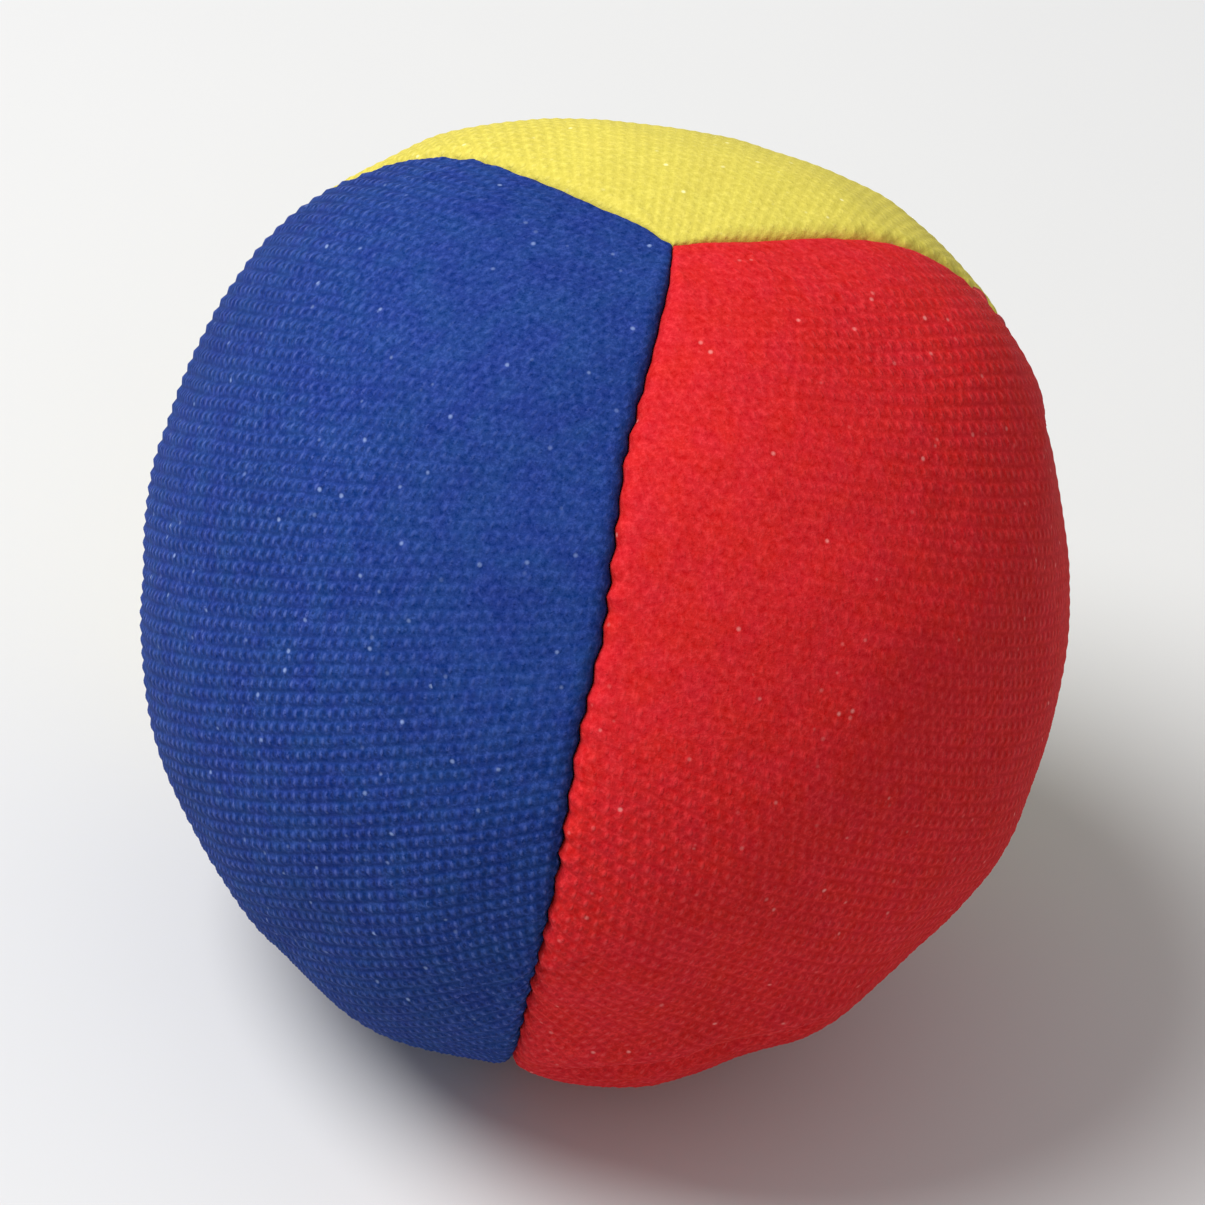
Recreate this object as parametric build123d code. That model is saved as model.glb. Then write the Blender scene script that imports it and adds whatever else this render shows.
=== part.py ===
from build123d import *
import math
import os
import random

os.makedirs("parts", exist_ok=True)

# Three-panel juggling ball: three pointed knit panels sewn pole to pole, filled with plastic pellets.
# Millimetres. +Z runs from the flattened base pole, at the origin, to the top pole.

# The filled ball
ball_diameter = 65.0  # across its widest part
settle = 1.5  # how far the ball's own weight presses its base flat
base_blend = 10.0  # radius from the flat base into the round side

# Cloth
cloth = 0.9  # thickness of the knit
seam_roll = 1.2  # radius over which a panel's edge turns in at a seam
seam_allowance = 6.0  # from the ball's surface to the cut edge inside it
dimple_radius = 1.5  # gathered dimple where the three points meet
dimple_depth = 2.4

# Machine stitching, a lockstitch of two threads
stitch_depth = 2.2  # below the ball's surface, past the rolled edge
stitch_length = 2.3
stitch_start = 4.0  # along the stitch line from the axis to the first hole, at each pole
thread = 0.3  # diameter of both threads
needle_hole = 0.9  # diameter of the hole that both legs of a stitch share
leg_spacing = 0.4  # between the two legs of a stitch in its hole
interlock_gap = 0.03  # between the two threads where they loop round each other in a hole
thread_bend = 0.62  # tightest bend of a thread along its middle, in thread diameters

# Hand stitching over the gap that the pellets went in through
gap_start = 44.0  # along the stitch line from the base pole
gap_length = 27.0
hand_stitch = 3.3
hand_thread = 0.4
knot = 1.3  # diameter of each end knot

# Filling: strand-cut pellets that lie roughly level, in staggered layers
pellet_diameter = 4.0
pellet_length = 3.2
pellet_tilt = 12.0  # largest tilt from level, in degrees
pellet_clearance = 0.1  # from a pellet to the next one, the cloth and the threads
pellet_seed = 7

# Panel centres and seams by azimuth, counted from +X towards +Y. The front seam faces -Y.
PANELS = {"red": -30.0, "yellow": 90.0, "blue": 210.0}
SEAMS = {"blue_red": -90.0, "red_yellow": 30.0, "yellow_blue": 150.0}
GAP_SEAM = "red_yellow"
PANEL_SPAN = 120.0

ball_radius = ball_diameter / 2
centre_height = ball_radius - settle
FAR = 2 * ball_diameter
TOLERANCE = 0.01


def outline(inset):
    """The ball's half outline in XZ, `inset` below its surface, from the base axis to the top axis."""
    blend_x = math.sqrt(settle * (ball_radius + centre_height - 2 * base_blend))
    blend_centre = Vector(blend_x, 0, base_blend)
    middle = Vector(0, 0, centre_height)
    outward = (blend_centre - middle).normalized()
    join = middle + outward * (ball_radius - inset)
    blend_mid = blend_centre + (outward + Vector(0, 0, -1)).normalized() * (base_blend - inset)
    side = middle + Vector(ball_radius - inset, 0, 0)
    top = middle + Vector(0, 0, ball_radius - inset)
    foot = Line((0, 0, inset), (blend_x, 0, inset))
    blend = ThreePointArc((blend_x, 0, inset), blend_mid, join)
    return Wire([foot.edge(), blend.edge(), ThreePointArc(join, side, top).edge()])


def body(inset, span=360.0):
    """Solid of revolution inside the outline, over `span` degrees centred on +X."""
    half = outline(inset)
    axis_line = Line(half @ 1, half @ 0)
    face = make_face([*half.edges(), axis_line.edge()])
    return Rot(0, 0, -span / 2) * revolve(face, axis=Axis.Z, revolution_arc=span)


def wedge(inset):
    """Prism over the panel's sector of XY, `inset` inside both seam planes."""
    half_span = math.radians(PANEL_SPAN / 2)
    apex = inset / math.sin(half_span)
    reach = Vector(math.cos(half_span), math.sin(half_span)) * FAR
    corners = [(apex, 0), (apex + reach.X, reach.Y), (apex + FAR, 0), (apex + reach.X, -reach.Y)]
    return Pos(0, 0, -FAR / 2) * extrude(make_face(Polyline(*corners, close=True)), FAR)


def dimples(radius, depth):
    """The gathered dimple at each pole, as cutters on the axis."""
    low = Pos(0, 0, depth / 2) * Cylinder(radius, depth)
    high = Pos(0, 0, centre_height + ball_radius - depth / 2) * Cylinder(radius, depth)
    return low + high


def seam_edges(solid):
    """The long outer edges of a panel, which its two seams roll over."""
    found = []
    for face in solid.faces().filter_by(GeomType.PLANE):
        if abs(face.normal_at().Z) > 0.5:
            continue
        for edge in face.outer_wire().edges():
            middle = edge @ 0.5
            if math.hypot(middle.X, middle.Y) > dimple_radius + TOLERANCE:
                found.append(edge)
    return ShapeList(found)


def panel_shell():
    """One panel centred on +X: the curved cloth and its two turned-in seam allowances."""
    block = body(0, PANEL_SPAN) - dimples(dimple_radius, dimple_depth)
    block = fillet(seam_edges(block), seam_roll)
    hollow = body(cloth) & wedge(cloth)
    hollow -= dimples(dimple_radius + cloth, dimple_depth + cloth)
    return block - hollow - body(seam_allowance)


def stitch_line():
    return outline(stitch_depth)


def stitch_places(start, end, pitch):
    """Distances of evenly spaced needle holes from `start` to `end` along the stitch line."""
    count = max(1, round((end - start) / pitch))
    return [start + (end - start) * i / count for i in range(count + 1)]


def hole_lists():
    """Hole places of a whole seam, and of the filling seam below, in and above its gap."""
    last = stitch_line().length - stitch_start
    gap_end = gap_start + gap_length
    whole = stitch_places(stitch_start, last, stitch_length)
    below = [d for d in whole if d < gap_start]
    above = [d for d in whole if d > gap_end]
    inside = stitch_places(gap_start + hand_stitch / 2, gap_end - hand_stitch / 2, hand_stitch)
    return whole, below, inside, above


def on_line(distance, side_offset=0.0):
    """Point on the stitch line of a seam in the XZ plane, moved sideways off that plane."""
    line = stitch_line()
    place = line @ (distance / line.length)
    return Vector(place.X, side_offset, place.Z)


def hole_cutters(places):
    """Needle holes through both seam allowances of a seam in the XZ plane."""
    depth = 2 * cloth + 2 * thread
    return [Pos(on_line(d)) * Rot(90, 0, 0) * Cylinder(needle_hole / 2, depth) for d in places]


def tube(points, diameter):
    """Round thread along straight runs joined by the tightest bends that it can take."""
    path = FilletPolyline(*points, radius=diameter * thread_bend)
    start = Plane(origin=path @ 0, z_dir=path % 0)
    return sweep(start * Circle(diameter / 2), path=path)


def lockstitch(places):
    """One thread of the machine seam: runs on the cloth, with a loop down into every hole."""
    run = cloth + thread / 2
    loop = (thread + interlock_gap) / 2
    points = []
    for distance in places:
        before = distance - leg_spacing / 2
        after = distance + leg_spacing / 2
        points += [on_line(before, run), on_line(before, loop)]
        points += [on_line(after, loop), on_line(after, run)]
    first = on_line(places[0] - stitch_length / 2, run)
    last = on_line(places[-1] + stitch_length / 2, run)
    return tube([first, *points, last], thread)


def hand_seam(places):
    """The hand-sewn thread that closes the gap: runs inside each fold in turn, knotted at both ends."""
    run = cloth + hand_thread / 2
    side = 1
    points = [on_line(places[0], run)]
    for here, after in zip(places, places[1:]):
        side = -side
        points += [on_line(here, side * run), on_line(after, side * run)]
    points.append(on_line(places[-1], -side * run))
    out = cloth + knot / 2
    ends = [on_line(places[0], out), on_line(places[-1], -side * out)]
    seam = tube(points, hand_thread)
    for end in ends:
        seam += Pos(end) * Sphere(knot / 2)
    return seam


def clear_of_cloth(x, y, z):
    """Whether a pellet centred here misses the panels, the seam allowances and the threads."""
    reach = math.hypot(pellet_diameter, pellet_length) / 2 + pellet_clearance
    distance = math.hypot(x, y, z - centre_height)
    if distance > ball_radius - cloth - reach or z < cloth + reach:
        return False
    if distance < ball_radius - seam_allowance - settle - reach:
        return True
    half_seam = cloth + max(thread, hand_thread + knot) + reach
    for azimuth in SEAMS.values():
        turn = math.radians(azimuth)
        along = x * math.cos(turn) + y * math.sin(turn)
        across = y * math.cos(turn) - x * math.sin(turn)
        if along > -reach and abs(across) < half_seam:
            return False
    return True


def pellets():
    """Every pellet of the filling as a solid of its own."""
    dice = random.Random(pellet_seed)
    lean = math.radians(pellet_tilt)
    row = pellet_diameter * math.cos(lean) + pellet_length * math.sin(lean) + pellet_clearance
    layer = pellet_length * math.cos(lean) + pellet_diameter * math.sin(lean) + pellet_clearance
    line = row * math.sqrt(3) / 2
    count = math.ceil(ball_radius / line) + 1
    levels = math.ceil(ball_diameter / layer)
    solids = []
    for k in range(levels):
        for j in range(-count, count + 1):
            for i in range(-count, count + 1):
                x = row * (i + 0.5 * (j % 2) + 0.5 * (k % 2))
                y = line * j
                z = cloth + layer * (k + 0.5)
                if clear_of_cloth(x, y, z):
                    turn = Rot(0, 0, dice.uniform(0, 360)) * Rot(dice.uniform(0, pellet_tilt), 0, 0)
                    pellet = Solid.make_cylinder(pellet_diameter / 2, pellet_length)
                    centred = Pos(0, 0, -pellet_length / 2) * pellet
                    solids.append(Pos(x, y, z) * turn * centred)
    return Compound(solids)


def panel(shell, azimuth, holes):
    """A panel in its place, with the needle holes of the seams on its two sides."""
    placed = Rot(0, 0, azimuth) * shell
    for seam, cutters in holes.items():
        gap = (SEAMS[seam] - azimuth) % 360
        if math.isclose(min(gap, 360 - gap), PANEL_SPAN / 2):
            placed = placed - [Rot(0, 0, SEAMS[seam]) * cutter for cutter in cutters]
    return placed


def save(name, shape):
    shape.label = name
    export_step(shape, f"parts/{name}.step")


whole, below, inside, above = hole_lists()
shell = panel_shell()
holes = {seam: hole_cutters(whole) for seam in SEAMS}
holes[GAP_SEAM] = hole_cutters(below + inside + above)
for colour, azimuth in PANELS.items():
    save(f"panel_{colour}", panel(shell, azimuth, holes))

whole_thread = lockstitch(whole)
gap_threads = Compound([lockstitch(below).solid(), lockstitch(above).solid()])
for seam, azimuth in SEAMS.items():
    needle = gap_threads if seam == GAP_SEAM else whole_thread
    save(f"needle_thread_{seam}", Rot(0, 0, azimuth) * needle)
    save(f"bobbin_thread_{seam}", Rot(0, 0, azimuth) * mirror(needle, about=Plane.XZ))

save("closing_thread", Rot(0, 0, SEAMS[GAP_SEAM]) * hand_seam(inside))
save("filling_pellets", pellets())
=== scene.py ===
import math

import bmesh
import bpy
import numpy as np
from bpy.props import FloatProperty, FloatVectorProperty, IntProperty, PointerProperty
from mathutils import Matrix, Vector, noise


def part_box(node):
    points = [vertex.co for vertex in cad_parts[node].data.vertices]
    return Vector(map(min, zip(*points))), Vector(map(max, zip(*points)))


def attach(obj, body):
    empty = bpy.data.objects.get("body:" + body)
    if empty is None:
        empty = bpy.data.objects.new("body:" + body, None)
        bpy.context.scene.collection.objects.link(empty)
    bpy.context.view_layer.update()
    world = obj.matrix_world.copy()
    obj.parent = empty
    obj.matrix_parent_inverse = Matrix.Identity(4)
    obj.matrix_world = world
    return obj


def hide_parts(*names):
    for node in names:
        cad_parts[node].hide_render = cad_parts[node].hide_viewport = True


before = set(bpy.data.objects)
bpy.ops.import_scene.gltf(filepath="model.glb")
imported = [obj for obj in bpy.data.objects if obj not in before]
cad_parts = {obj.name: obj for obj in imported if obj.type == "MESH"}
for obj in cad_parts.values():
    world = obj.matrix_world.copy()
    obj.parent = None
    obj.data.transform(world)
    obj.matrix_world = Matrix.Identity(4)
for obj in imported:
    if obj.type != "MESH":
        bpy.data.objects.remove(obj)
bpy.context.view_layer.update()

bl_info = {
    "name": "Juggling Ball",
    "version": (1, 0, 0),
    "blender": (4, 5, 0),
    "location": "View3D > Sidebar > Juggling Ball",
    "description": "Three-panel knit juggling ball, sewn pole to pole and filled with pellets",
    "category": "Add Mesh",
}

MM = 0.001
UP = np.array([0.0, 0.0, 1.0])

# Panel centres and seams by azimuth, in degrees from +X towards +Y. The front seam faces -Y.
PANELS = {"red": -30.0, "yellow": 90.0, "blue": 210.0}
SEAMS = {"blue_red": -90.0, "red_yellow": 30.0, "yellow_blue": 150.0}
GAP_SEAM = "red_yellow"
TOOTH = {"blue_red": 1.0, "red_yellow": 0.3, "yellow_blue": 0.3}
HALF_SPAN = 60.0

# How far the front seam sways off its plane: millimetres from the top pole along the seam, and the
# millimetres it shifts towards the red panel there.
SWAY = {
    "blue_red": (
        (0, 0.0), (4, 0.25), (10, 0.05), (18, -0.4), (30, 0.5), (38, 0.2), (48, 0.6), (62, 0.3), (80, 0.0),
    ),
}

# How far each panel's knit rows climb from level at its centre, in degrees, how high its knit
# stands as a share of the full relief, and how far its loops lean along the row.
GRAIN = {"red": -29.0, "yellow": 90.0, "blue": 36.0}
RELIEF = {"red": 0.5, "yellow": 0.5, "blue": 0.9}
LEAN = {"red": -0.2, "yellow": 0.0, "blue": 0.25}

# The filled ball is a little out of round. Round a ring that is tilted back by RING_TILT and turned
# by RING_TURN, these are the degrees where it turns in or out, and the millimetres it stands out there.
RING_TILT = 40.4
RING_TURN = 11.2
RING_TURNS = (
    (0, 0.0), (8, 0.0), (40, 1.7), (48, 1.8), (82, 0.45), (111, 1.5), (127, 2.2), (160, 0.2),
    (178, -0.75), (204, -0.15), (226, 0.45), (241, 1.5), (258, 0.85), (266, 1.3), (275, 1.25),
    (288, 0.5), (295, 0.8), (313, -0.05), (328, 0.3), (343, -0.1), (360, 0.0),
)

# Soft swellings and dents left by handling: azimuth and height angle in degrees, then radius and rise
# in millimetres.
SWELLINGS = (
    (12.0, 57.0, 9.0, 0.9),
    (30.0, 80.0, 5.0, -0.25),
    (150.0, 55.0, 9.0, 0.9),
    (-60.0, 60.0, 9.0, 0.35),
    (222.0, 62.0, 10.0, 0.6),
    (175.0, 60.0, 8.0, 0.6),
    (95.0, 62.0, 10.0, 0.5),
    (200.0, -12.0, 12.0, 0.35),
    (250.0, -35.0, 9.0, -0.35),
)

# Long soft ridges and folds: rise and half width to the left and to the right in millimetres, and
# the azimuth and height angle of the places that the ridge runs through.
RIDGES = (
    (1.1, 6.5, 12.0, ((-2.0, 36.0), (-39.0, 30.5), (-60.0, 20.0), (-80.0, 0.0))),
    (0.6, 2.0, 3.0, ((-86.0, -29.5), (-74.0, -24.5), (-62.0, -21.5), (-47.0, -21.0))),
    (-1.2, 1.4, 1.4, ((-82.0, -34.5), (-74.5, -31.0), (-62.0, -28.5), (-50.0, -27.0))),
)

# Where each panel is stretched tightest, which flattens its knit: azimuth and height angle.
TIGHT_SPOTS = ((-120.0, 74.0), (-90.0, 46.0), (-64.0, 46.0), (70.0, 66.0), (90.0, 10.0), (30.0, 20.0))
TIGHT_REACH = 0.62  # how far a tight spot spreads, in radians
TIGHT_FLATTENING = 0.7  # share of the knit's relief that is lost where the cloth is tightest

# The resting base and the lumps of the filling
BASE_ANGLE = 0.5  # from straight down, in radians, within which the base has no lumps and swellings
BASE_EASE = 0.35  # further radians over which they rise to their full height
PRESSED_HEIGHT = 2.0 * MM  # below which the floor presses the knit flat
LUMP = 6.5 * MM
SMALL_LUMP = 3.2 * MM
SMALL_LUMP_SHARE = 0.6  # height of the small lumps as a share of the large ones

# The valley along a seam
VALLEY_START = 0.02  # how far behind the pole it starts, as a share of the ball's radius
VALLEY_DEEPENING = 4.0  # how fast it reaches its depth from there

# The cloth at a seam
TUCK = 1.2 * MM  # length of cloth below its rolled edge that has knit cells of its own
SEAM_CLEARANCE = 0.03 * MM  # from rolled-in cloth to the seam's plane
GATHER_REACH = 6.0 * MM  # from the top pole, how far the seams' rolls are gathered tighter
GATHERED_ROLL = 0.3  # share of the full roll that is left at the pole
FAINT_REACH = 24.0 * MM  # from the top pole, how far the stitches show less than in full
FAINT_SHARE = 0.15  # share of their strength that is left at the pole
UNEVEN_STRENGTH = 0.7  # how much the stitches' strength changes along a seam
UNEVEN_STITCH = 3.1 * MM  # length along a seam over which it changes
STITCH_JITTER = 0.3  # how far the stitches stray along a seam, in stitches
STITCH_JITTER_LENGTH = 4.3 * MM
BULGE_LEVEL = 0.35  # where the bulge crosses the seam's plane, from 0 midway along a stitch to 1 at a hole
STITCH_PULL = 0.1 * MM  # how deep the cloth is pulled in midway along a stitch
STITCH_PULL_REACH = 1.7 * MM  # how far that pull is felt from the seam
STITCH_DEPTH = 2.2 * MM  # of the stitched line, below the ball's surface
HAND_STRENGTH = 0.9  # how much more the hand stitches bulge the cloth than machine stitches
FOLD_FADE = 1.4  # how deep in a fold the knit's relief fades out, in seam rolls
FOLD_RELIEF = 0.15  # share of the relief that is left deeper than that


class BallShape(bpy.types.PropertyGroup):
    radius: FloatProperty(
        name="Radius", description="Half the ball's width", unit="LENGTH",
        default=float(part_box("panel_yellow")[1].y))
    settle: FloatProperty(
        name="Settle", description="How far the ball's weight presses its base flat", unit="LENGTH",
        default=1.5 * MM)
    base_blend: FloatProperty(
        name="Base blend", description="Radius from the flat base into the round side", unit="LENGTH",
        default=10.0 * MM)
    seam_roll: FloatProperty(
        name="Seam roll", description="Radius over which the cloth turns in at a seam", unit="LENGTH",
        default=1.2 * MM)
    seam_valley: FloatProperty(
        name="Seam valley", description="How far the ball pulls in along its seams", unit="LENGTH",
        default=0.35 * MM)
    seam_valley_width: FloatProperty(
        name="Seam valley width", description="Reach of the pull of a seam", unit="LENGTH",
        default=4.0 * MM)
    pole_dimple: FloatProperty(
        name="Pole dimple", description="Depth of the gather where the three points meet", unit="LENGTH",
        default=0.35 * MM)
    pole_dimple_width: FloatProperty(
        name="Pole dimple width", description="Reach of that gather", unit="LENGTH",
        default=2.2 * MM)
    lumps: FloatProperty(
        name="Lumps", description="Height of the lumps that the pellets push up", unit="LENGTH",
        default=0.16 * MM)
    seam_allowance: FloatProperty(
        name="Seam allowance", description="Depth of the panels' cut edges inside the ball",
        unit="LENGTH", default=6.0 * MM)


class Knit(bpy.types.PropertyGroup):
    loop: FloatProperty(
        name="Loop", description="Width and height of one knit loop", unit="LENGTH",
        default=1.0 * MM)
    steps: IntProperty(
        name="Steps", description="Mesh cells along one loop", default=4, min=4)
    row_relief: FloatProperty(
        name="Row relief", description="Height of the rows of loops", unit="LENGTH",
        default=0.085 * MM)
    loop_relief: FloatProperty(
        name="Loop relief", description="Height of each loop on its row", unit="LENGTH",
        default=0.03 * MM)


class Sewing(bpy.types.PropertyGroup):
    stitch: FloatProperty(
        name="Stitch", description="Length of a machine stitch", unit="LENGTH", default=2.3 * MM)
    hand_stitch: FloatProperty(
        name="Hand stitch", description="Length of a hand stitch over the gap", unit="LENGTH",
        default=3.3 * MM)
    pucker: FloatProperty(
        name="Pucker", description="How much a stitch widens the seam's fold, as a share",
        default=0.06)
    tooth: FloatProperty(
        name="Tooth", description="How far the cloth bulges over the seam between stitches",
        unit="LENGTH", default=0.26 * MM)
    thread: FloatProperty(
        name="Thread", description="Diameter of the machine thread", unit="LENGTH",
        default=0.3 * MM)
    hand_thread: FloatProperty(
        name="Hand thread", description="Diameter of the closing thread", unit="LENGTH",
        default=0.4 * MM)


class Colours(bpy.types.PropertyGroup):
    red: FloatVectorProperty(
        name="Red", description="Red knit", subtype="COLOR", default=(0.60, 0.0160, 0.0195))
    yellow: FloatVectorProperty(
        name="Yellow", description="Yellow knit", subtype="COLOR", default=(0.672, 0.575, 0.094))
    blue: FloatVectorProperty(
        name="Blue", description="Blue knit", subtype="COLOR", default=(0.0135, 0.0420, 0.214))
    thread: FloatVectorProperty(
        name="Thread", description="Sewing thread", subtype="COLOR", default=(0.42, 0.018, 0.02))
    pellets: FloatVectorProperty(
        name="Pellets", description="Filling", subtype="COLOR", default=(0.74, 0.72, 0.66))
    floor: FloatVectorProperty(
        name="Floor", description="Studio floor", subtype="COLOR", default=(0.70, 0.70, 0.70))


class Studio(bpy.types.PropertyGroup):
    elevation: FloatProperty(
        name="Elevation", description="Camera above level", subtype="ANGLE",
        default=math.radians(RING_TILT))
    roll: FloatProperty(
        name="Roll", description="Camera turned about its line of sight", subtype="ANGLE",
        default=math.radians(RING_TURN))
    distance: FloatProperty(
        name="Distance", description="Camera to the ball's centre", unit="LENGTH", default=0.62)
    view_width: FloatProperty(
        name="View width", description="Width seen at the ball", unit="LENGTH", default=0.084)
    key: FloatProperty(
        name="Key light", description="Power of the large soft light, in watts", default=11.3)
    fill: FloatProperty(
        name="Fill light", description="Strength of the even light from all sides", default=0.43)


GROUPS = {
    "ball_shape": BallShape,
    "ball_knit": Knit,
    "ball_sewing": Sewing,
    "ball_colours": Colours,
    "ball_studio": Studio,
}


def settings(name):
    return getattr(bpy.context.scene, name)


# ---------------------------------------------------------------- the ball's form


def unit(azimuth, height=0.0):
    """Unit vector at an azimuth and a height angle, in degrees."""
    a, h = math.radians(azimuth), math.radians(height)
    return np.array([math.cos(h) * math.cos(a), math.cos(h) * math.sin(a), math.sin(h)])


def ball_centre():
    shape = settings("ball_shape")
    return np.array([0.0, 0.0, shape.radius - shape.settle])


def outline_table():
    """Angle up from straight down, and distance from the centre, along the resting ball's outline."""
    shape = settings("ball_shape")
    radius, blend, middle = shape.radius, shape.base_blend, shape.radius - shape.settle
    foot = math.sqrt(shape.settle * (radius + middle - 2 * blend))
    join = math.atan2(foot, middle - blend)
    turn = np.linspace(0.0, join, 12)
    across = np.concatenate([np.linspace(0.0, foot, 6)[:-1], foot + blend * np.sin(turn)])
    below = np.concatenate([np.full(5, middle), middle - blend + blend * np.cos(turn)])
    return np.arctan2(across, below), np.hypot(across, below)


def out_of_round(degrees):
    """How far the ball stands out at places round the ring, eased from each turn to the next."""
    at, out = np.array(RING_TURNS).T
    last = np.clip(np.searchsorted(at, degrees, side="right") - 1, 0, len(at) - 2)
    share = eased((degrees - at[last]) / (at[last + 1] - at[last]))
    return (out[last] + share * (out[last + 1] - out[last])) * MM


def noise_at(points, scale, seed):
    """Smooth noise from -1 to 1 at every point, `scale` metres to a lump."""
    offset = Vector((seed * 7.13, seed * 3.71, seed * 5.19))
    return np.array([noise.noise(Vector(p) + offset) for p in (points / scale).tolist()])


def noise_along(arc, scale, seed):
    """Smooth noise from -1 to 1 along a line."""
    return noise_at(np.stack([arc, arc * 0, arc * 0], axis=1), scale, seed)


def eased(share):
    """A share from 0 to 1 with a soft start and end."""
    return share * share * (3 - 2 * share)


def along_ridge(ways, path, left, right):
    """Height, from 0 to 1, of a ridge along a path of unit vectors, faded at its ends."""
    radius = settings("ball_shape").radius
    height = np.zeros(len(ways))
    for start, end in zip(path, path[1:]):
        square = np.cross(start, end)
        length = math.atan2(float(np.linalg.norm(square)), float(start @ end))
        square = square / np.linalg.norm(square)
        place = np.arctan2(ways @ np.cross(square, start), ways @ start)
        beyond = radius * np.maximum(np.maximum(-place, place - length), 0.0)
        across = radius * np.arcsin(np.clip(ways @ square, -1.0, 1.0))
        reach = np.where(across > 0, left, right)
        height = np.maximum(height, np.exp(-((across / reach) ** 2) - (beyond / reach) ** 2))
    return height


def tightness(ways):
    """How tightly the cloth is stretched, from 0 to 1."""
    near = []
    for spot in TIGHT_SPOTS:
        apart = np.arccos(np.clip(ways @ unit(*spot), -1.0, 1.0))
        near.append(np.exp(-((apart / TIGHT_REACH) ** 2)))
    return np.max(near, axis=0)


def surface_radius(ways):
    """Distance from the ball's centre to its surface, without folds and knit, along unit vectors."""
    shape = settings("ball_shape")
    down = np.arccos(np.clip(-ways[:, 2], -1.0, 1.0))
    far = np.interp(down, *outline_table())
    tilt = math.radians(RING_TILT)
    across, rising = ways[:, 0], ways[:, 1] * math.sin(tilt) + ways[:, 2] * math.cos(tilt)
    around = np.degrees(np.arctan2(rising, across)) - RING_TURN
    in_ring = across**2 + rising**2
    off_base = eased(np.clip((down - BASE_ANGLE) / BASE_EASE, 0.0, 1.0))
    lift = out_of_round(around % 360.0) * in_ring**1.5
    for azimuth, height, reach, rise in SWELLINGS:
        apart = shape.radius * np.arccos(np.clip(ways @ unit(azimuth, height), -1.0, 1.0))
        lift = lift + rise * MM * np.exp(-((apart / (reach * MM)) ** 2))
    for rise, left, right, places in RIDGES:
        path = [unit(*place) for place in places]
        lift = lift + rise * MM * along_ridge(ways, path, left * MM, right * MM)
    points = ways * shape.radius
    lumps = noise_at(points, LUMP, 1) + SMALL_LUMP_SHARE * noise_at(points, SMALL_LUMP, 2)
    lift = lift + shape.lumps * lumps
    for azimuth in SEAMS.values():
        apart = shape.radius * np.abs(ways @ seam_side(azimuth))
        ahead = ways @ unit(azimuth) > -VALLEY_START
        valley = np.exp(-((apart / shape.seam_valley_width) ** 2))
        valley = valley * np.clip(np.sin(down) * VALLEY_DEEPENING, 0, 1)
        lift = lift - shape.seam_valley * valley * ahead
    from_axis = shape.radius * np.sin(down)
    lift = lift - shape.pole_dimple * np.exp(-((from_axis / shape.pole_dimple_width) ** 2))
    return far + lift * off_base


def seam_side(azimuth):
    """The level unit vector square to a seam, towards growing azimuth."""
    return unit(azimuth + 90.0)


def sway_at(seam, arc):
    """How far a seam sways off its plane at arc lengths from the top pole."""
    if seam not in SWAY:
        return np.zeros_like(arc)
    at, shift = np.array(SWAY[seam]).T
    return np.interp(arc / MM, at, shift) * MM


def gap_reach():
    """Arc lengths from the top pole between which the filling seam is closed by hand."""
    low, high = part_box("closing_thread")
    radius, middle = settings("ball_shape").radius, ball_centre()[2]
    return [radius * math.acos((z - middle) / (radius - STITCH_DEPTH)) for z in (high.z, low.z)]


def stitch_phase(seam, arc):
    """Turns since the last needle hole, 0 and 1 at holes, and how coarse the sewing is there."""
    sewing = settings("ball_sewing")
    plain = arc / sewing.stitch
    if seam != GAP_SEAM:
        return plain, np.zeros_like(arc)
    start, end = gap_reach()
    inside = ((arc > start) & (arc < end)).astype(float)
    by_hand = (arc - start) / sewing.hand_stitch
    return np.where(inside > 0, by_hand, plain), inside


def fold_in(side, tangent, roll):
    """Where cloth `side` from the seam plane ends up when it rolls in: beside it, and below the surface."""
    turn = np.clip((roll - side) / roll, 0.0, math.pi / 2)
    spare = np.maximum(-side - (math.pi / 2 - 1) * roll, 0.0)
    beside = np.where(side > roll, side, roll * (1 - np.sin(turn)))
    below = roll * (1 - np.cos(turn)) + spare
    return np.maximum(beside, tangent), np.where(side > roll, 0.0, below)


def flat_to_ways(p, q, azimuth):
    """Unit vectors for a panel's flat places, p level and q upright from its centre."""
    radius = settings("ball_shape").radius
    reach = np.hypot(p, q)
    turn = reach / radius
    spread = np.sin(turn) / np.maximum(reach, 1e-9)
    level, out = unit(azimuth + 90.0), unit(azimuth)
    return (
        np.outer(np.cos(turn), out)
        + np.outer(p * spread, level)
        + np.outer(q * spread, UP)
    )


def seam_distances(ways, azimuth):
    """How far inside its two seams a panel's places are, along the surface, as two columns."""
    radius = settings("ball_shape").radius
    found = []
    for end in (1, -1):
        inward = -end * seam_side(azimuth + end * HALF_SPAN)
        found.append(radius * np.arcsin(np.clip(ways @ inward, -1.0, 1.0)))
    return np.stack(found, axis=1)


def stitches_at(seam, arc):
    """From 0 midway along a stitch to 1 at a needle hole, and how strongly the stitches show there."""
    phase, coarse = stitch_phase(seam, arc)
    wander = noise_along(arc, UNEVEN_STITCH, 5)
    phase = phase + STITCH_JITTER * noise_along(arc, STITCH_JITTER_LENGTH, 9)
    at_hole = np.abs(2 * (phase - np.floor(phase)) - 1)
    clear = np.clip(arc / FAINT_REACH, FAINT_SHARE, 1.0)
    return at_hole, clear * (1 + UNEVEN_STRENGTH * wander) + HAND_STRENGTH * coarse


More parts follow.
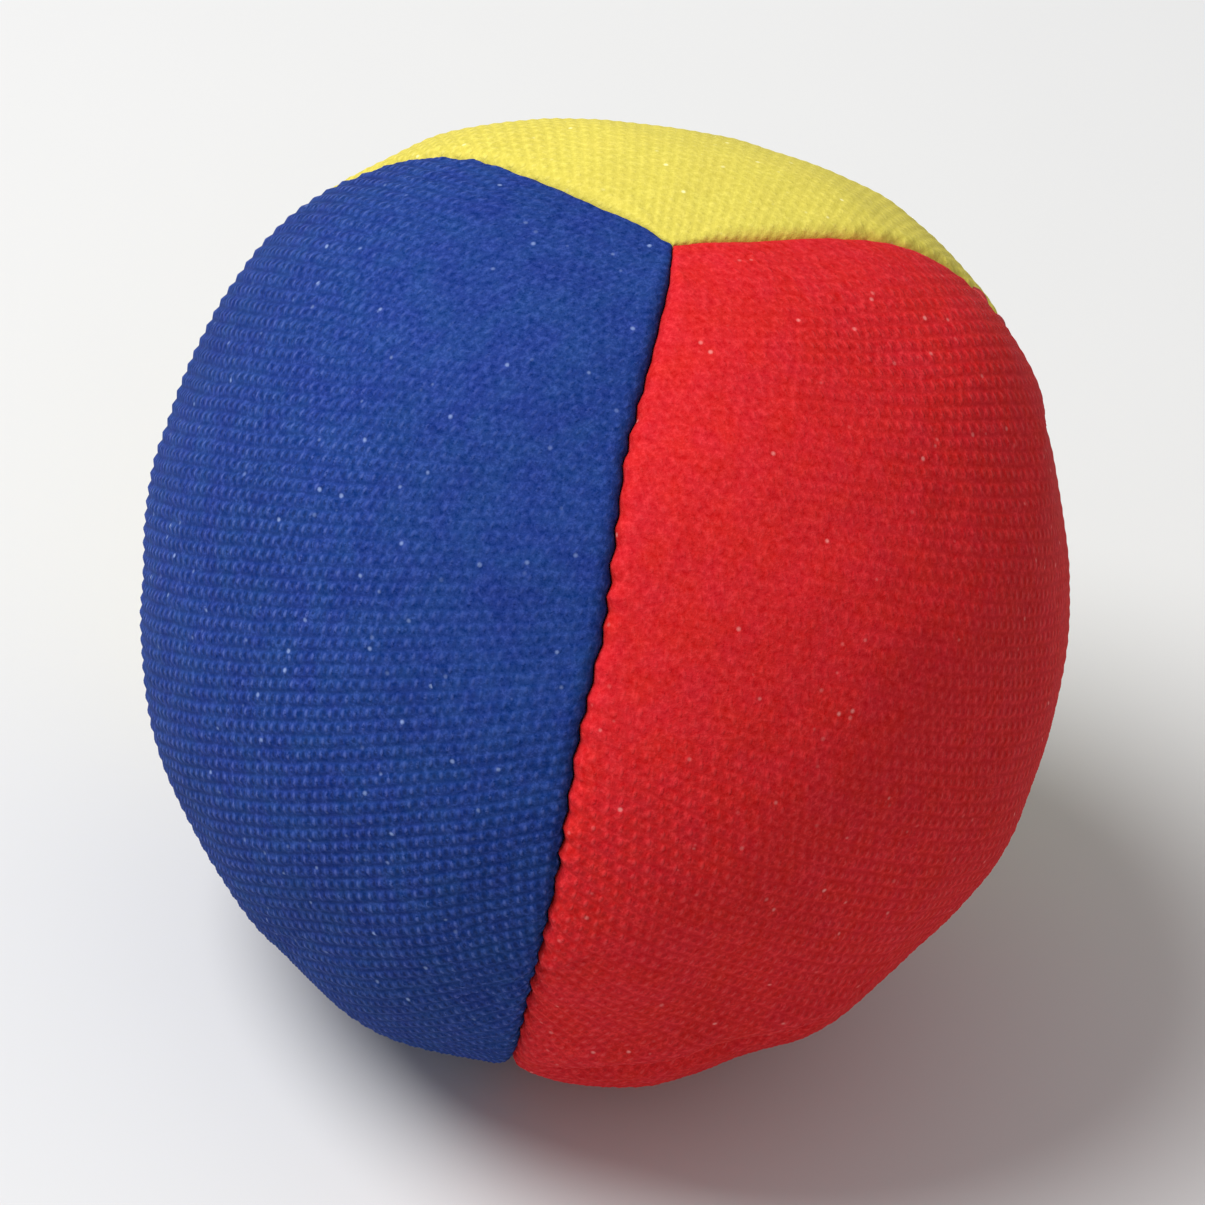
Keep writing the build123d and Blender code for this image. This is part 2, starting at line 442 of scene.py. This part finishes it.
def lay_panel(ways, sides, azimuth, allowance):
    """Places of a panel's cloth on the ball, with its edges rolled in at both seams, and their depth."""
    shape, sewing = settings("ball_shape"), settings("ball_sewing")
    deepest = np.zeros(len(ways))
    for column, end in enumerate((1, -1)):
        seam = next(n for n, a in SEAMS.items() if abs((a - azimuth - end * HALF_SPAN) % 360) < 1)
        plane, along = seam_side(SEAMS[seam]), unit(SEAMS[seam])
        level, rise = ways @ along, ways[:, 2]
        arc = shape.radius * np.arctan2(np.maximum(level, 0.0), rise)
        at_hole, strength = stitches_at(seam, arc)
        bulge = sway_at(seam, arc) - sewing.tooth * TOOTH[seam] * (at_hole - BULGE_LEVEL) * strength
        gathered = eased(np.clip(arc / GATHER_REACH, 0.0, 1.0))
        gathered = GATHERED_ROLL + (1 - GATHERED_ROLL) * gathered
        roll = shape.seam_roll * gathered * (1 + sewing.pucker * strength * (1 - 2 * at_hole))
        side = np.maximum(sides[:, column], -allowance) + end * bulge
        near = side < roll
        beside, below = fold_in(side, SEAM_CLEARANCE, roll)
        beside = (beside - end * bulge) / shape.radius
        length = np.maximum(np.hypot(np.maximum(level, 0.0), rise), 1e-9)
        foot = np.outer(np.maximum(level, 0.0) / length, along) + np.outer(rise / length, UP)
        moved = foot * np.cos(beside)[:, None] - np.outer(np.sin(beside) * end, plane)
        ways = np.where(near[:, None], moved, ways)
        pulled = np.exp(-((np.maximum(side, 0) / STITCH_PULL_REACH) ** 2))
        pulled = STITCH_PULL * strength * (1 - at_hole) * pulled
        deepest = (deepest**4 + (below + pulled) ** 4) ** 0.25
    far = surface_radius(ways) - deepest
    return ball_centre() + ways * far[:, None], deepest


def knit_relief(rows, ridge, loop):
    """Height of the knit at (along, across) in loops: rows of loops, every other row half a loop along."""
    along, across = rows[:, 0], rows[:, 1]
    return (
        ridge * np.cos(2 * math.pi * across)
        + loop * np.cos(2 * math.pi * along) * np.cos(math.pi * across)
    )


def link(name, bm, material):
    """A finished mesh object at the origin that rides on the frame."""
    mesh = bpy.data.meshes.new(name)
    bm.to_mesh(mesh)
    bm.free()
    mesh.shade_smooth()
    mesh.materials.append(material)
    piece = bpy.data.objects.new(name, mesh)
    bpy.context.scene.collection.objects.link(piece)
    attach(piece, "root")
    return piece


def flat_lens(colour):
    """The panel's flat blank: a grid of knit cells in cloth coordinates, trimmed past its seams."""
    shape, knit = settings("ball_shape"), settings("ball_knit")
    cell = knit.loop / knit.steps
    half = (shape.radius * math.pi / 2 + 4 * MM) // knit.loop * knit.loop
    count = 2 * round(half / cell)
    bm = bmesh.new()
    bmesh.ops.create_grid(bm, x_segments=count, y_segments=count, size=half)
    cloth = np.array([v.co[:2] for v in bm.verts])
    ways, sides = to_ball(cloth, colour)
    keep = sides.min(axis=1) > -fine_allowance()
    bm.faces.ensure_lookup_table()
    out = [f for f in bm.faces if not any(keep[v.index] for v in f.verts)]
    bmesh.ops.delete(bm, geom=out, context="FACES")
    return bm


def fine_allowance():
    """Cloth past the seam plane that has the knit's own cells, the rest being plain."""
    return settings("ball_shape").seam_roll * (math.pi / 2 - 1) + TUCK


def to_ball(cloth, colour):
    """Unit vectors and distances inside the seams for cloth coordinates."""
    turn = math.radians(GRAIN[colour])
    p = cloth[:, 0] * math.cos(turn) - cloth[:, 1] * math.sin(turn)
    q = cloth[:, 0] * math.sin(turn) + cloth[:, 1] * math.cos(turn)
    ways = flat_to_ways(p, q, PANELS[colour])
    return ways, seam_distances(ways, PANELS[colour])


class JUGGLING_OT_panels(bpy.types.Operator):
    """Knit panels, laid flat, stretched over the filling and rolled in at their seams"""

    bl_idname = "juggling.panels"
    bl_label = "Knit Panels"

    def execute(self, context):
        for colour in PANELS:
            self.sew(colour)
        return {"FINISHED"}

    def sew(self, colour):
        shape, knit = settings("ball_shape"), settings("ball_knit")
        azimuth = PANELS[colour]
        bm = flat_lens(colour)
        bm.verts.ensure_lookup_table()
        bm.verts.index_update()
        cloth = np.array([v.co[:2] for v in bm.verts])
        ways, sides = to_ball(cloth, colour)
        places, depth = lay_panel(ways, sides, azimuth, fine_allowance())
        for vert, place in zip(bm.verts, places.tolist()):
            vert.co = place
        bm.normal_update()
        normals = np.array([v.normal[:] for v in bm.verts])
        tight = tightness(ways)
        relief = knit_relief(cloth / knit.loop, knit.row_relief, knit.loop_relief)
        relief = relief * RELIEF[colour] * (1 - TIGHT_FLATTENING * tight)
        fade = np.clip(1 - depth / (FOLD_FADE * shape.seam_roll), FOLD_RELIEF, 1.0)
        pressed = np.clip(places[:, 2] / PRESSED_HEIGHT, 0.0, 1.0)
        places = places + normals * (relief * fade * pressed)[:, None]
        places[:, 2] = np.maximum(places[:, 2], 0.0)
        for vert, place in zip(bm.verts, places.tolist()):
            vert.co = place
        rows = bm.loops.layers.uv.new("knit")
        loops = (cloth / knit.loop).tolist()
        for face in bm.faces:
            for corner in face.loops:
                corner[rows].uv = loops[corner.vert.index]
        stretch = bm.verts.layers.float.new("tightness")
        for vert, share in zip(bm.verts, tight.tolist()):
            vert[stretch] = share
        self.turn_in_edge(bm, shape)
        piece = link(f"{colour}_panel_cloth", bm, knit_material(colour))
        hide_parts(f"panel_{colour}")
        width, length, area = self.flat_size()

    def turn_in_edge(self, bm, shape):
        """Carries the trimmed edge on to the panel's cut edge, deep inside the ball."""
        middle = Vector(ball_centre())
        edge = [e for e in bm.edges if e.is_boundary]
        spare = shape.seam_allowance - shape.seam_roll - TUCK
        for _ in range(2):
            grown = bmesh.ops.extrude_edge_only(bm, edges=edge)["geom"]
            for vert in (g for g in grown if isinstance(g, bmesh.types.BMVert)):
                vert.co += (middle - vert.co).normalized() * spare / 2
            edge = [g for g in grown if isinstance(g, bmesh.types.BMEdge) and g.is_boundary]

    def flat_size(self):
        """Width, length and area of a panel's flat cut, seam allowances included."""
        shape = settings("ball_shape")
        radius = shape.radius
        spare = shape.seam_allowance + shape.seam_roll * (math.pi / 2 - 2)
        up = np.linspace(-math.pi / 2, math.pi / 2, 181)
        side = math.radians(HALF_SPAN)
        turn = np.arccos(np.clip(np.cos(up) * math.cos(side), -1, 1))
        p = radius * turn * np.cos(up) * math.sin(side) / np.sin(turn)
        q = radius * turn * np.sin(up) / np.sin(turn)
        area = abs(float(((p[1:] + p[:-1]) * np.diff(q)).sum()))
        edge = 2 * float(np.hypot(np.diff(p), np.diff(q)).sum())
        return 2 * (float(p.max()) + spare), 2 * (float(q.max()) + spare), area + edge * spare


# ---------------------------------------------------------------- sewing


def seam_place(seam, arc, depth):
    """A point on a seam, `arc` from the top pole and `depth` down, and the directions out and sideways."""
    shape = settings("ball_shape")
    turn = arc / shape.radius
    out = unit(SEAMS[seam]) * math.sin(turn) + UP * math.cos(turn)
    far = float(surface_radius(out[None, :])[0]) - depth
    side = seam_side(SEAMS[seam])
    aside = float(sway_at(seam, np.array([arc]))[0])
    return Vector(ball_centre() + out * far + side * aside), Vector(out), Vector(side)


# Stitches that show, with their depth measured from the ball's surface to the stitch's ends
RUNG_DEPTH = 1.6 * MM
RUNG_SPAN = 1.6 * MM
RUNG_RISE = 0.25 * MM
SEWN_DEGREES = 160.0  # of the way from pole to pole that has stitches in view
HAND_DEPTH = 0.55 * MM

# Hand stitches, each with its usual measure and how far it drifts either way
HAND_SPAN = (2.1 * MM, 0.8 * MM)
HAND_RISE = (0.5 * MM, 0.2 * MM)
HAND_LEAN = (0.45, 0.4)  # from square to the seam, in radians
HAND_SHIFT = 0.5 * MM  # along the seam


def thread_arc(bm, place, out, side, span, rise, thickness, lean=0.0):
    """One stitch: a short arch of round thread over the seam, from side to side."""
    radius = (span**2 / 4 + rise**2) / (2 * rise)
    half = math.asin(min(1.0, span / 2 / radius))
    side = (Matrix.Rotation(lean, 3, out) @ side).normalized()
    axis = side.cross(out).normalized()
    hub = place + out * (rise - radius)
    ring = bmesh.ops.create_circle(bm, cap_ends=False, radius=thickness / 2, segments=8)["verts"]
    to_seam = Matrix((axis, out, side)).transposed()
    for vert in ring:
        vert.co = hub + Matrix.Rotation(-half, 3, axis) @ (to_seam @ vert.co + out * radius)
    edges = {e for v in ring for e in v.link_edges}
    spun = bmesh.ops.spin(
        bm, geom=[*ring, *edges], cent=hub, axis=axis, angle=2 * half, steps=9,
        use_merge=False, use_normal_flip=False, use_duplicate=False)
    ends = [g for g in spun["geom_last"] if isinstance(g, bmesh.types.BMEdge)]
    bmesh.ops.contextual_create(bm, geom=list(edges))
    bmesh.ops.contextual_create(bm, geom=ends)


class JUGGLING_OT_machine_stitches(bpy.types.Operator):
    """Rungs of thread that show in the seams' grooves at every needle hole"""

    bl_idname = "juggling.machine_stitches"
    bl_label = "Machine Stitches"

    def execute(self, context):
        shape, sewing = settings("ball_shape"), settings("ball_sewing")
        for seam in SEAMS:
            bm = bmesh.new()
            count = int(shape.radius * math.radians(SEWN_DEGREES) / sewing.stitch)
            for k in range(2, count):
                arc = k * sewing.stitch
                if seam == GAP_SEAM and gap_reach()[0] < arc < gap_reach()[1]:
                    continue
                place, out, side = seam_place(seam, arc, RUNG_DEPTH)
                thread_arc(bm, place, out, side, RUNG_SPAN, RUNG_RISE, sewing.thread)
            bmesh.ops.recalc_face_normals(bm, faces=bm.faces)
            piece = link(f"machine_stitches_{seam}", bm, thread_material())
        return {"FINISHED"}


class JUGGLING_OT_closing_stitches(bpy.types.Operator):
    """Coarse, uneven hand stitches that close the gap the filling went in through"""

    bl_idname = "juggling.closing_stitches"
    bl_label = "Closing Stitches"

    def execute(self, context):
        sewing = settings("ball_sewing")
        start, end = gap_reach()
        bm = bmesh.new()
        count = int((end - start) / sewing.hand_stitch)
        for k in range(count + 1):
            arc = start + k * sewing.hand_stitch
            drift = noise.noise(Vector((k * 1.7, 2.0, 5.0)))
            span, rise, lean = (usual + spread * drift for usual, spread in (HAND_SPAN, HAND_RISE, HAND_LEAN))
            place, out, side = seam_place(GAP_SEAM, arc + drift * HAND_SHIFT, HAND_DEPTH)
            thread_arc(bm, place, out, side, span, rise, sewing.hand_thread, lean)
        bmesh.ops.recalc_face_normals(bm, faces=bm.faces)
        piece = link("closing_stitches", bm, thread_material())
        return {"FINISHED"}


# ---------------------------------------------------------------- finishes


class Finish:
    """A node material being put together, with its shader and short calls to add nodes."""

    def __init__(self, name, **constants):
        self.material = bpy.data.materials.new(name)
        self.material.use_nodes = True
        self.tree = self.material.node_tree
        self.shader = next(n for n in self.tree.nodes if n.type == "BSDF_PRINCIPLED")
        for socket, value in constants.items():
            self.shader.inputs[socket.replace("_", " ")].default_value = value

    def add(self, kind, out=0, choices=(), **inputs):
        """A node with its inputs set or joined, by name or number, and one of its outputs."""
        node = self.tree.nodes.new(kind)
        for name, value in dict(choices).items():
            setattr(node, name, value)
        for name, value in inputs.items():
            socket = node.inputs[int(name[1:]) if name[1:].isdigit() else name.replace("_", " ")]
            if isinstance(value, bpy.types.NodeSocket):
                self.tree.links.new(value, socket)
            else:
                socket.default_value = value
        return node.outputs[out]

    def calc(self, operation, a, b=0.0, c=0.0):
        return self.add("ShaderNodeMath", choices={"operation": operation}, i0=a, i1=b, i2=c)

    def move(self, operation, a, b, c=(0.0, 0.0, 0.0)):
        return self.add("ShaderNodeVectorMath", choices={"operation": operation}, i0=a, i1=b, i2=c)

    def away(self, along, across, width, height):
        """Distance from a loop's middle, 1 on the ellipse of that width and height."""
        a, b = self.calc("DIVIDE", along, width), self.calc("DIVIDE", across, height)
        return self.calc("SQRT", self.calc("MULTIPLY_ADD", a, a, self.calc("MULTIPLY", b, b)))

    def ramp(self, value, low, high, start=0.0, end=1.0):
        """`value` from low to high, eased to start and end."""
        return self.add(
            "ShaderNodeMapRange", choices={"interpolation_type": "SMOOTHSTEP"},
            Value=value, From_Min=low, From_Max=high, To_Min=start, To_Max=end)

    def mix(self, share, a, b, blend="MIX"):
        node = self.tree.nodes.new("ShaderNodeMix")
        node.data_type, node.blend_type = "RGBA", blend
        for socket, value in zip((node.inputs[0], node.inputs[6], node.inputs[7]), (share, a, b)):
            if isinstance(value, bpy.types.NodeSocket):
                self.tree.links.new(value, socket)
            else:
                socket.default_value = value
        return node.outputs[2]

    def join(self, **sockets):
        for name, value in sockets.items():
            self.tree.links.new(value, self.shader.inputs[name.replace("_", " ")])


def rgba(colour, scale=1.0, lift=0.0):
    return (*(min(1.0, max(0.001, c * scale + lift)) for c in colour), 1.0)


# Painted shade in the pits and furrows between loops, as a share of the base colour; painted highlight on the
# loops' own tops, as a shade and a paleness;
# strength and paleness of the fibres' grain; and the colour of the painted glints, small bright specks that
# stand for single fibres catching the light.
KNIT_TONES = {
    "red": (0.74, 1.08, 0.026, 0.16, 0.013, (0.80, 0.25, 0.23)),
    "yellow": (0.80, 1.06, 0.06, 0.10, 0.018, (1.0, 0.95, 0.55)),
    "blue": (0.52, 1.45, 0.045, 0.28, 0.013, (0.22, 0.30, 0.56)),
}


def loop_places(f, place, lean):
    """Where a point is in its knit loop, along and across the row, and the loop's own random value."""
    sway = f.add("ShaderNodeTexNoise", out=1, Vector=place, Scale=160.0, Detail=2.0)
    sway = f.move("SUBTRACT", sway, (0.5, 0.5, 0.5))
    yarn = f.add("ShaderNodeUVMap", choices={"uv_map": "knit"})
    rows = f.add("ShaderNodeSeparateXYZ", Vector=f.move("MULTIPLY_ADD", sway, (0.5, 0.5, 0.0), yarn))
    across = rows.node.outputs[1]
    row = f.calc("FLOOR", f.calc("ADD", across, 0.5))
    shift = f.calc("MULTIPLY_ADD", f.calc("FLOORED_MODULO", row, 2.0), 0.5, 0.5)
    shifted = f.calc("ADD", rows, shift)
    cell = f.calc("FLOOR", shifted)
    cu = f.calc("SUBTRACT", f.calc("SUBTRACT", shifted, cell), 0.5)
    cv = f.calc("SUBTRACT", across, row)
    where = f.add("ShaderNodeCombineXYZ", X=cell, Y=row)
    chance = f.add("ShaderNodeTexWhiteNoise", choices={"noise_dimensions": "2D"}, Vector=where)
    return f.calc("MULTIPLY_ADD", cv, -lean, cu), cv, chance


def knit_material(colour):
    """Polyester knit: staggered loops with painted shade in their pits and furrows and painted highlights on
    their tops, uneven dye, fibre grain and a few painted glints.
    """
    base = tuple(getattr(settings("ball_colours"), colour))
    painted_pit_shade, top, pale, fibre, fuzz, bright = KNIT_TONES[colour]
    turn = 0.005 if colour == "blue" else 0.0015
    f = Finish(
        f"{colour}_knit", Specular_IOR_Level=0.08, Sheen_Weight=0.02,
        Sheen_Roughness=0.45, Sheen_Tint=rgba(base, 0.7, 0.3))
    place = f.add("ShaderNodeTexCoord", out=3)
    tight = f.add("ShaderNodeAttribute", out=2, choices={"attribute_name": "tightness"})
    clear = f.ramp(tight, 0.1, 0.9, 1.0, 0.3)
    cu, cv, chance = loop_places(f, place, LEAN[colour])
    # masks: the middle of each loop, which takes the painted highlight, and the pits beside it and the
    # furrows between rows, which take the painted shade
    reach = f.away(cu, cv, 0.15, 0.30)
    loop = f.ramp(reach, 0.35, 1.3, 1.0, 0.0)
    beside = f.calc("SUBTRACT", 0.5, f.calc("ABSOLUTE", cu))
    pits = f.ramp(f.away(beside, cv, 0.2, 0.32), 0.3, 1.3, 1.0, 0.0)
    furrow = f.ramp(f.calc("ABSOLUTE", cv), 0.26, 0.5, 0.0, 1.0)
    # uneven dye in patches, and a fine grain of fibres
    patches = f.add("ShaderNodeTexNoise", Vector=place, Scale=70.0, Detail=3.0, Roughness=0.6)
    shade = f.ramp(patches, 0.3, 0.7, 0.95, 1.04)
    grain = f.add("ShaderNodeTexNoise", Vector=place, Scale=2300.0, Detail=3.0, Roughness=0.8)
    # painted shade: pits and furrows coloured darker, fainter where the cloth is stretched tight; the same
    # mask also sinks them in the bump
    painted_shade = f.calc("MULTIPLY", f.calc("MAXIMUM", f.calc("MULTIPLY", furrow, 0.55), pits), clear)
    # painted highlight: the tops of the loops coloured lighter and paler, by a random share per loop, fainter
    # where the cloth is stretched tight
    light = f.calc("MULTIPLY", f.calc("MULTIPLY", loop, clear), f.ramp(chance, 0.0, 1.0, 0.35, 1.0))
    body = f.mix(painted_shade, rgba(base), rgba(base, painted_pit_shade))
    body = f.mix(light, body, rgba(base, top, pale))
    # the fibres' fine grain, lighter and darker at random
    body = f.mix(f.ramp(grain, 0.5, 0.68), body, rgba(base, 1 + fibre, fuzz))
    body = f.mix(f.ramp(grain, 0.32, 0.5, 1.0, 0.0), body, rgba(base, 1 - fibre, -0.6 * fuzz))
    hue = f.add("ShaderNodeTexNoise", Vector=place, Scale=420.0, Detail=2.0, Roughness=0.5)
    hue = f.ramp(hue, 0.2, 0.8, 0.5 - turn, 0.5 + turn)
    body = f.add("ShaderNodeHueSaturation", Color=body, Hue=hue, Value=shade)
    # painted glints: small bright specks here and there, standing for single fibres that catch the light
    spot = f.add("ShaderNodeTexVoronoi", Vector=place, Scale=1300.0)
    pick = f.add("ShaderNodeSeparateColor", Color=spot.node.outputs[1])
    painted_glint = f.calc("MULTIPLY", f.calc("GREATER_THAN", pick, 0.93), f.ramp(spot, 0.08, 0.30, 1.0, 0.0))
    painted_glint = f.calc("MULTIPLY", painted_glint, f.ramp(pick.node.outputs[1], 0.0, 1.0, 0.15, 0.85))
    body = f.mix(painted_glint, body, (*bright, 1.0))
    # relief: the loops and a little fuzz
    height = f.calc("SUBTRACT", f.calc("MULTIPLY", loop, 0.8), f.calc("MULTIPLY", painted_shade, 0.5))
    height = f.calc("MULTIPLY_ADD", grain, 0.9, f.calc("MULTIPLY", height, clear))
    bump = f.add("ShaderNodeBump", Strength=0.75, Distance=0.1 * MM, Height=height)
    f.join(Base_Color=body, Normal=bump, Roughness=f.ramp(loop, 0.0, 1.0, 0.85, 0.7))
    return f.material


def thread_material():
    """Twisted sewing thread."""
    if "sewing_thread" in bpy.data.materials:
        return bpy.data.materials["sewing_thread"]
    base = tuple(settings("ball_colours").thread)
    f = Finish("sewing_thread", Specular_IOR_Level=0.4, Sheen_Weight=0.15, Sheen_Roughness=0.4)
    place = f.add("ShaderNodeTexCoord", out=3)
    ply = f.add("ShaderNodeTexWave", out=1, choices={"bands_direction": "DIAGONAL"},
                Vector=place, Scale=900.0, Distortion=1.5, Detail=1.0)
    fibre = f.add("ShaderNodeTexNoise", Vector=place, Scale=3000.0, Detail=3.0)
    tone = f.mix(ply, rgba(base, 0.6), rgba(base, 1.25))
    tone = f.mix(f.ramp(fibre, 0.4, 0.75, 0.0, 0.35), tone, rgba(base, 1.5, 0.02))
    height = f.calc("ADD", ply, f.calc("MULTIPLY", fibre, 0.4))
    bump = f.add("ShaderNodeBump", Strength=0.7, Distance=0.06 * MM, Height=height)
    f.join(Base_Color=tone, Normal=bump, Roughness=f.ramp(fibre, 0.3, 0.7, 0.45, 0.65))
    return f.material


def pellet_material():
    """Cut plastic pellets: cloudy, with a tint that changes from pellet to pellet and a scuffed skin."""
    base = tuple(settings("ball_colours").pellets)
    f = Finish("cut_pellets", Specular_IOR_Level=0.5, Subsurface_Weight=0.15, Subsurface_Scale=0.001)
    place = f.add("ShaderNodeTexCoord", out=3)
    batch = f.add("ShaderNodeTexVoronoi", out=1, Vector=place, Scale=240.0)
    tint = f.add("ShaderNodeSeparateColor", Color=batch)
    cloud = f.add("ShaderNodeTexNoise", Vector=place, Scale=700.0, Detail=4.0)
    tone = f.mix(f.ramp(tint, 0.1, 0.9), rgba(base, 0.82), rgba(base, 1.12))
    tone = f.mix(f.ramp(cloud, 0.35, 0.7, 0.0, 0.25), tone, rgba(base, 0.7))
    bump = f.add("ShaderNodeBump", Strength=0.4, Distance=0.05 * MM, Height=cloud)
    f.join(Base_Color=tone, Normal=bump, Roughness=f.ramp(cloud, 0.3, 0.7, 0.28, 0.5))
    return f.material


def floor_material():
    """Matt pale studio floor."""
    base = tuple(settings("ball_colours").floor)
    f = Finish("studio_floor", Specular_IOR_Level=0.1)
    place = f.add("ShaderNodeTexCoord", out=3)
    mottle = f.add("ShaderNodeTexNoise", Vector=place, Scale=14.0, Detail=4.0)
    tone = f.mix(f.ramp(mottle, 0.3, 0.7), rgba(base, 0.985), rgba(base))
    f.join(Base_Color=tone, Roughness=f.ramp(mottle, 0.3, 0.7, 0.82, 0.9))
    return f.material


class JUGGLING_OT_inner_finishes(bpy.types.Operator):
    """Finishes of the sewing thread and the pellets inside the ball"""

    bl_idname = "juggling.inner_finishes"
    bl_label = "Thread and Filling"

    def execute(self, context):
        pellets = pellet_material()
        for name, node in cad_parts.items():
            if name.startswith("panel_"):
                continue
            material = pellets if name == "filling_pellets" else thread_material()
            for slot in node.material_slots:
                slot.material = material
        return {"FINISHED"}


# ---------------------------------------------------------------- stage


FLOOR_REACH = 4.0  # metres from the ball to where the floor turns up behind it
FLOOR_DROP = 0.1 * MM  # from the ball's flat base down to the floor
KEY_FROM = (-0.55, -0.10, 0.82)
KEY_SIZE = 0.6


class JUGGLING_OT_stage(bpy.types.Operator):
    """Pale floor, soft lights and the camera"""

    bl_idname = "juggling.stage"
    bl_label = "Stage"

    def execute(self, context):
        scene = context.scene
        self.lay_floor(scene)
        aim = Vector(ball_centre())
        self.light(scene, aim, "key", KEY_FROM, KEY_SIZE, settings("ball_studio").key)
        world = bpy.data.worlds.new("studio")
        world.use_nodes = True
        back = next(n for n in world.node_tree.nodes if n.type == "BACKGROUND")
        back.inputs["Color"].default_value = (1.0, 1.0, 1.0, 1.0)
        back.inputs["Strength"].default_value = settings("ball_studio").fill
        scene.world = world
        scene.view_settings.view_transform = "Standard"
        self.set_camera(scene, aim)
        return {"FINISHED"}

    def lay_floor(self, scene):
        bm = bmesh.new()
        bmesh.ops.create_grid(bm, x_segments=1, y_segments=1, size=FLOOR_REACH)
        back = [e for e in bm.edges if all(v.co.y > FLOOR_REACH - 0.1 for v in e.verts)]
        bmesh.ops.spin(
            bm, geom=[*back, *{v for e in back for v in e.verts}], cent=(0, FLOOR_REACH, 1.0), axis=(1, 0, 0),
            angle=math.pi / 2, steps=16)
        bmesh.ops.translate(bm, verts=bm.verts, vec=(0, 0, -FLOOR_DROP))
        mesh = bpy.data.meshes.new("studio_floor")
        bm.to_mesh(mesh)
        bm.free()
        mesh.shade_smooth()
        mesh.materials.append(floor_material())
        floor = bpy.data.objects.new("studio_floor", mesh)
        scene.collection.objects.link(floor)

    def light(self, scene, aim, name, offset, size, power):
        lamp = bpy.data.lights.new(name, "AREA")
        lamp.shape, lamp.size, lamp.energy = "DISK", size, power
        holder = bpy.data.objects.new(name, lamp)
        holder.location = aim + Vector(offset)
        holder.rotation_euler = (-Vector(offset)).to_track_quat("-Z", "Y").to_euler()
        scene.collection.objects.link(holder)

    def set_camera(self, scene, aim):
        studio = settings("ball_studio")
        lens = bpy.data.cameras.new("camera")
        lens.lens = lens.sensor_width * studio.distance / studio.view_width
        lens.clip_start, lens.clip_end = 0.01, 50.0
        camera = bpy.data.objects.new("camera", lens)
        away = Vector((0.0, -math.cos(studio.elevation), math.sin(studio.elevation)))
        turn = (-away).to_track_quat("-Z", "Y").to_matrix() @ Matrix.Rotation(studio.roll, 3, "Z")
        camera.matrix_world = Matrix.Translation(aim + away * studio.distance) @ turn.to_4x4()
        scene.collection.objects.link(camera)
        scene.camera = camera


OPERATORS = (
    JUGGLING_OT_panels,
    JUGGLING_OT_machine_stitches,
    JUGGLING_OT_closing_stitches,
    JUGGLING_OT_inner_finishes,
    JUGGLING_OT_stage,
)


class JUGGLING_PT_panel(bpy.types.Panel):
    bl_idname = "JUGGLING_PT_panel"
    bl_label = "Juggling Ball"
    bl_space_type = "VIEW_3D"
    bl_region_type = "UI"
    bl_category = "Juggling Ball"

    def draw(self, context):
        for operator in OPERATORS:
            self.layout.operator(operator.bl_idname)
        for name, group in GROUPS.items():
            box = self.layout.box()
            for field in group.__annotations__:
                box.prop(getattr(context.scene, name), field)


def register():
    for kind in (*GROUPS.values(), *OPERATORS, JUGGLING_PT_panel):
        bpy.utils.register_class(kind)
    for name, group in GROUPS.items():
        setattr(bpy.types.Scene, name, PointerProperty(type=group))


def unregister():
    for name in GROUPS:
        delattr(bpy.types.Scene, name)
    for kind in (JUGGLING_PT_panel, *OPERATORS, *GROUPS.values()):
        bpy.utils.unregister_class(kind)


def main():
    register()
    bpy.ops.juggling.panels()
    bpy.ops.juggling.machine_stitches()
    bpy.ops.juggling.closing_stitches()
    bpy.ops.juggling.inner_finishes()
    bpy.ops.juggling.stage()


if __name__ == "__main__":
    main()
